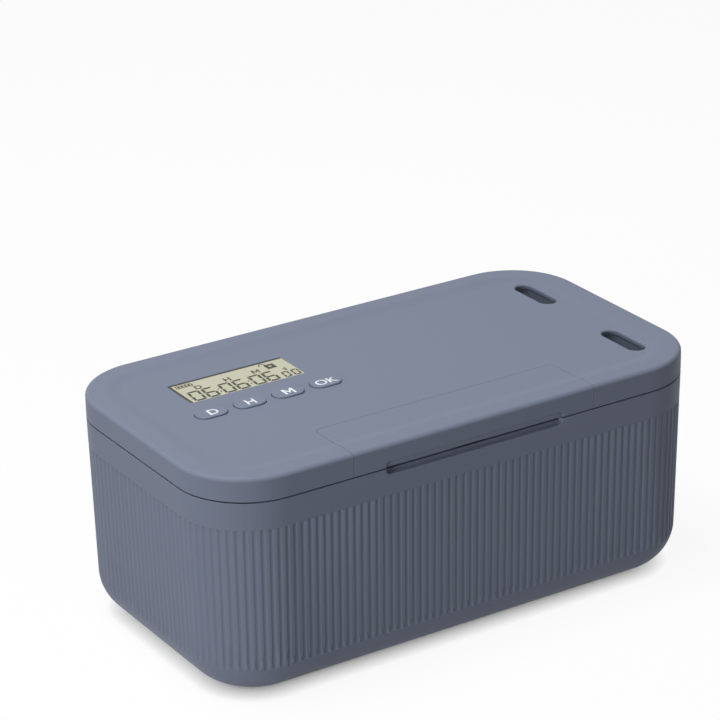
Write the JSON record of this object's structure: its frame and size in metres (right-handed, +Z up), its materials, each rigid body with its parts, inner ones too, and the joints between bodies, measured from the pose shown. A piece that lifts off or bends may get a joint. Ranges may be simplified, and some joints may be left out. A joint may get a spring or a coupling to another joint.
{
  "type": "timed lock container",
  "caption": "Plastic storage box with a hinged lid that a motor-driven bolt locks until a countdown timer, set with press keys under an LCD, runs out.",
  "frame": {"origin": "under the middle of the tub, on the surface that its feet rest on", "axes": "+X along the box to the end with the cable slots, +Y to the hinges, +Z up"},
  "size_m": [0.24, 0.1375, 0.1006],
  "materials": {
    "shell_plastic": "satin",
    "liner_plastic": "matte",
    "key_plastic": "satin",
    "foot_rubber": "matte",
    "plated_steel": "satin",
    "magnet_plating": "polished",
    "display_glass": "gloss",
    "frame_plastic": "matte",
    "contact_rubber": "matte",
    "board_laminate": "satin",
    "chip_epoxy": "matte",
    "switch_plastic": "matte",
    "nylon_white": "satin",
    "motor_steel": "satin",
    "gearbox_plastic": "matte",
    "cell_jacket": "satin",
    "contact_plate": "polished",
    "reed_glass": "gloss",
    "wire_insulation": "satin"
  },
  "bodies": {
    "base": {"tub": "shell_plastic", "rubber_feet": "foot_rubber", "sensor_magnet": "magnet_plating", "hinge_pins": "plated_steel", "strike_plate": "plated_steel", "strike_screws": "plated_steel"},
    "lid": {"lid_shell": "shell_plastic", "latch_cover": "shell_plastic", "lid_liner": "liner_plastic", "liner_screws": "plated_steel", "lcd_glass": "display_glass", "lcd_frame": "frame_plastic", "contact_strips": "contact_rubber", "circuit_board": "board_laminate", "board_screws": "plated_steel", "controller_chip": "chip_epoxy", "switch_bodies": "switch_plastic", "sounder": "switch_plastic", "motor_gearbox": "gearbox_plastic", "lock_motor": "motor_steel", "motor_cradle": "nylon_white", "motor_strap": "plated_steel", "strap_screw": "plated_steel", "bolt_guide": "nylon_white", "guide_screws": "plated_steel", "battery_1": "cell_jacket", "battery_2": "cell_jacket", "battery_3": "cell_jacket", "battery_contacts": "contact_plate", "battery_springs": "contact_plate", "reed_switch": "reed_glass", "reed_wires": "contact_plate", "motor_wires": "wire_insulation"},
    "bolt": {"lock_bolt": "nylon_white"},
    "drive": {"drive_pinion": "nylon_white", "drive_shaft": "plated_steel"},
    "door": {"battery_door": "liner_plastic"},
    "days_key": {"key_days": "key_plastic", "plunger_days": "switch_plastic"},
    "hours_key": {"key_hours": "key_plastic", "plunger_hours": "switch_plastic"},
    "minutes_key": {"key_minutes": "key_plastic", "plunger_minutes": "switch_plastic"},
    "ok_key": {"key_ok": "key_plastic", "plunger_ok": "switch_plastic"}
  },
  "joints": [
    {"name": "lid_hinge", "type": "hinge", "parent": "base", "child": "lid", "pos_m": [0, 0.0689, 0.09005], "axis": [-1, 0, 0], "range_deg": [0, 100]},
    {"name": "bolt_slide", "type": "slide", "parent": "lid", "child": "bolt", "axis": [0, -1, 0], "range_m": [0, 0.005]},
    {"name": "drive_spin", "type": "hinge", "parent": "lid", "child": "drive", "pos_m": [0, -0.047, 0.0915], "axis": [-1, 0, 0], "range_deg": [0, 71.63]},
    {"name": "door_hinge", "type": "hinge", "parent": "lid", "child": "door", "pos_m": [-0.06, 0.03535, 0.07465], "axis": [1, 0, 0], "range_deg": [0, 90]},
    {"name": "days_press", "type": "slide", "parent": "lid", "child": "days_key", "axis": [0, 0, -1], "range_m": [0, 0.0005], "stiffness_N_per_m": 1000},
    {"name": "hours_press", "type": "slide", "parent": "lid", "child": "hours_key", "axis": [0, 0, -1], "range_m": [0, 0.0005], "stiffness_N_per_m": 1000},
    {"name": "minutes_press", "type": "slide", "parent": "lid", "child": "minutes_key", "axis": [0, 0, -1], "range_m": [0, 0.0005], "stiffness_N_per_m": 1000},
    {"name": "ok_press", "type": "slide", "parent": "lid", "child": "ok_key", "axis": [0, 0, -1], "range_m": [0, 0.0005], "stiffness_N_per_m": 1000}
  ],
  "couplings": [
    {"joint": "drive_spin", "follows": "bolt_slide", "rad_per_m": 250}
  ]
}
